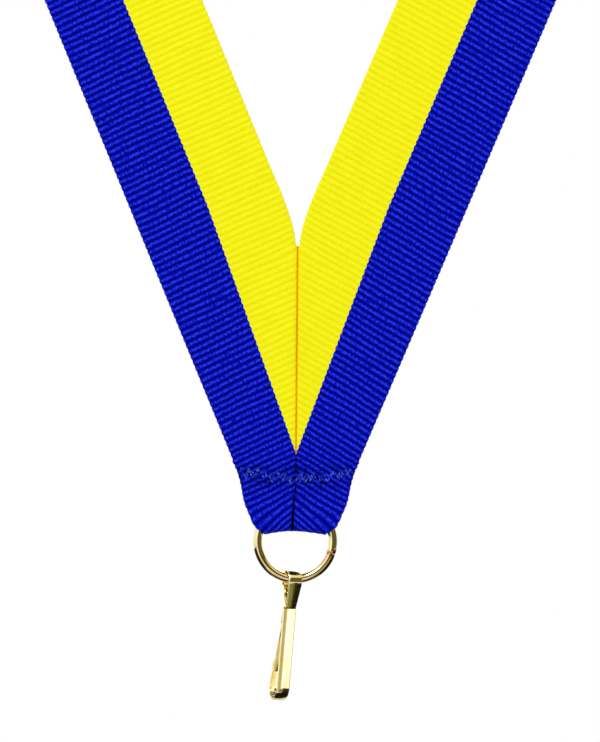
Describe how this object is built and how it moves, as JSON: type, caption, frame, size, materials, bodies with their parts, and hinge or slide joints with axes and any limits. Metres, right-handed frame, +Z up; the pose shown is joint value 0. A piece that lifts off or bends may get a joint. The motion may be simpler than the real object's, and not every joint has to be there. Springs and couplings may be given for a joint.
{
  "type": "medal neck ribbon",
  "caption": "Neck ribbon for a medal: two-colour grosgrain sewn to a V, with a wire jump ring and a spring-gated snap hook for the medal",
  "frame": {"origin": "middle of the ribbon's inner face at the nape, where it rests on the neck", "axes": "+Z up, the V and its ring hang down and face -Y, +X to the right for someone facing the V"},
  "size_m": [0.176, 0.1089, 0.346],
  "materials": {
    "ribbon": "woven, ribbed",
    "seam_thread": "matt",
    "tack_thread": "matt",
    "ring_metal": "polished, gold-plated",
    "hook_metal": "polished, gold-plated",
    "gate_metal": "polished, gold-plated"
  },
  "bodies": {
    "sewn_ribbon": {"ribbon": "ribbon", "seam_thread": "seam_thread", "bar_tack": "tack_thread"},
    "ring": {"jump_ring": "ring_metal"},
    "hook": {"hook_body": "hook_metal"},
    "gate": {"gate_spring": "gate_metal"}
  },
  "joints": [
    {"name": "ring_turn", "type": "hinge", "parent": "sewn_ribbon", "child": "ring", "pos_m": [0, -0.09969, -0.31265], "axis": [0, 1, 0], "range_deg": [-80, 70]},
    {"name": "hook_swing", "type": "hinge", "parent": "ring", "child": "hook", "pos_m": [-0.00044, -0.09969, -0.31837], "axis": [0.9971, 0, -0.0767], "range_deg": [-90, 90]},
    {"name": "gate_flex", "type": "hinge", "parent": "hook", "child": "gate", "pos_m": [-0.00113, -0.0991, -0.32452], "axis": [-0.9369, -0.342, 0.0721], "range_deg": [0, 14], "stiffness_Nm_per_rad": 0.02}
  ]
}
